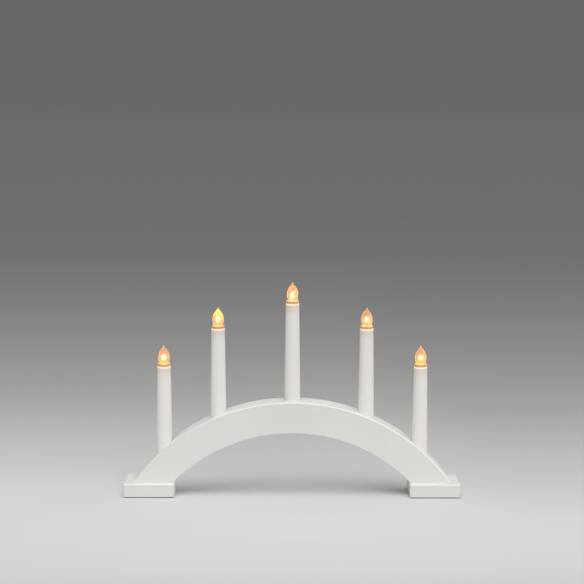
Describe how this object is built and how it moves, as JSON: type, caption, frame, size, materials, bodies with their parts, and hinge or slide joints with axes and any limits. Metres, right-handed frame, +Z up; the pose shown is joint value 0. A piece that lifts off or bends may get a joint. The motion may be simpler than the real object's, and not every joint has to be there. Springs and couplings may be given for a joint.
{
  "type": "candle arch",
  "caption": "White painted wooden arch on block feet, carrying a row of upright candle tubes with screw-in glowing teardrop bulbs.",
  "frame": {"origin": "on the table under the middle of the arch", "axes": "+X to the right along the arch, +Y to the back, +Z up"},
  "size_m": [0.4, 0.048, 0.2556],
  "materials": {
    "painted_wood": "satin white paint",
    "felt": "pressed felt",
    "steel": "zinc plated",
    "cover_plastic": "matt white",
    "lead_sleeve": "soft white",
    "tube_plastic": "satin white",
    "holder_plastic": "translucent warm white, lit from inside",
    "brass": "plain",
    "dark_glass": "glossy",
    "bulb_glass": "clear, glowing",
    "stem_glass": "clear",
    "filament": "glowing wire"
  },
  "bodies": {
    "stand": {"arch": "painted_wood", "left_foot": "painted_wood", "right_foot": "painted_wood", "left_foot_pad": "felt", "right_foot_pad": "felt", "foot_screws": "steel", "groove_cover": "cover_plastic", "cord_inlet_bush": "cover_plastic", "return_lead": "lead_sleeve", "feed_lead": "lead_sleeve", "link_lead_left_outer_to_left_inner": "lead_sleeve", "link_lead_left_inner_to_centre": "lead_sleeve", "link_lead_centre_to_right_inner": "lead_sleeve", "link_lead_right_inner_to_right_outer": "lead_sleeve", "candle_tube_left_outer": "tube_plastic", "lamp_holder_left_outer": "holder_plastic", "socket_shell_left_outer": "brass", "candle_tube_left_inner": "tube_plastic", "lamp_holder_left_inner": "holder_plastic", "socket_shell_left_inner": "brass", "candle_tube_centre": "tube_plastic", "lamp_holder_centre": "holder_plastic", "socket_shell_centre": "brass", "candle_tube_right_inner": "tube_plastic", "lamp_holder_right_inner": "holder_plastic", "socket_shell_right_inner": "brass", "candle_tube_right_outer": "tube_plastic", "lamp_holder_right_outer": "holder_plastic", "socket_shell_right_outer": "brass"},
    "contact_left_outer": {"centre_contact_left_outer": "brass"},
    "bulb_left_outer": {"bulb_cap_left_outer": "brass", "bulb_insulator_left_outer": "dark_glass", "bulb_glass_left_outer": "bulb_glass", "bulb_stem_left_outer": "stem_glass", "bulb_filament_left_outer": "filament"},
    "contact_left_inner": {"centre_contact_left_inner": "brass"},
    "bulb_left_inner": {"bulb_cap_left_inner": "brass", "bulb_insulator_left_inner": "dark_glass", "bulb_glass_left_inner": "bulb_glass", "bulb_stem_left_inner": "stem_glass", "bulb_filament_left_inner": "filament"},
    "contact_centre": {"centre_contact_centre": "brass"},
    "bulb_centre": {"bulb_cap_centre": "brass", "bulb_insulator_centre": "dark_glass", "bulb_glass_centre": "bulb_glass", "bulb_stem_centre": "stem_glass", "bulb_filament_centre": "filament"},
    "contact_right_inner": {"centre_contact_right_inner": "brass"},
    "bulb_right_inner": {"bulb_cap_right_inner": "brass", "bulb_insulator_right_inner": "dark_glass", "bulb_glass_right_inner": "bulb_glass", "bulb_stem_right_inner": "stem_glass", "bulb_filament_right_inner": "filament"},
    "contact_right_outer": {"centre_contact_right_outer": "brass"},
    "bulb_right_outer": {"bulb_cap_right_outer": "brass", "bulb_insulator_right_outer": "dark_glass", "bulb_glass_right_outer": "bulb_glass", "bulb_stem_right_outer": "stem_glass", "bulb_filament_right_outer": "filament"}
  },
  "joints": [
    {"name": "bulb_lift_left_outer", "type": "slide", "parent": "stand", "child": "contact_left_outer", "axis": [0, 0, 1], "range_m": [0, 0.00136], "deforming": ["centre_contact_left_outer"]},
    {"name": "bulb_turn_left_outer", "type": "hinge", "parent": "contact_left_outer", "child": "bulb_left_outer", "pos_m": [-0.1525, 0, 0.15506], "axis": [0, 0, 1], "range_deg": [0, 270]},
    {"name": "bulb_lift_left_inner", "type": "slide", "parent": "stand", "child": "contact_left_inner", "axis": [0, 0, 1], "range_m": [0, 0.00136], "deforming": ["centre_contact_left_inner"]},
    {"name": "bulb_turn_left_inner", "type": "hinge", "parent": "contact_left_inner", "child": "bulb_left_inner", "pos_m": [-0.08799, 0, 0.20062], "axis": [0, 0, 1], "range_deg": [0, 270]},
    {"name": "bulb_lift_centre", "type": "slide", "parent": "stand", "child": "contact_centre", "axis": [0, 0, 1], "range_m": [0, 0.00136], "deforming": ["centre_contact_centre"]},
    {"name": "bulb_turn_centre", "type": "hinge", "parent": "contact_centre", "child": "bulb_centre", "pos_m": [0, 0, 0.2306], "axis": [0, 0, 1], "range_deg": [0, 270]},
    {"name": "bulb_lift_right_inner", "type": "slide", "parent": "stand", "child": "contact_right_inner", "axis": [0, 0, 1], "range_m": [0, 0.00136], "deforming": ["centre_contact_right_inner"]},
    {"name": "bulb_turn_right_inner", "type": "hinge", "parent": "contact_right_inner", "child": "bulb_right_inner", "pos_m": [0.08799, 0, 0.20062], "axis": [0, 0, 1], "range_deg": [0, 270]},
    {"name": "bulb_lift_right_outer", "type": "slide", "parent": "stand", "child": "contact_right_outer", "axis": [0, 0, 1], "range_m": [0, 0.00136], "deforming": ["centre_contact_right_outer"]},
    {"name": "bulb_turn_right_outer", "type": "hinge", "parent": "contact_right_outer", "child": "bulb_right_outer", "pos_m": [0.1525, 0, 0.15506], "axis": [0, 0, 1], "range_deg": [0, 270]}
  ],
  "couplings": [
    {"joint": "bulb_turn_left_outer", "follows": "bulb_lift_left_outer", "rad_per_m": 3463.7},
    {"joint": "bulb_turn_left_inner", "follows": "bulb_lift_left_inner", "rad_per_m": 3463.7},
    {"joint": "bulb_turn_centre", "follows": "bulb_lift_centre", "rad_per_m": 3463.7},
    {"joint": "bulb_turn_right_inner", "follows": "bulb_lift_right_inner", "rad_per_m": 3463.7},
    {"joint": "bulb_turn_right_outer", "follows": "bulb_lift_right_outer", "rad_per_m": 3463.7}
  ]
}
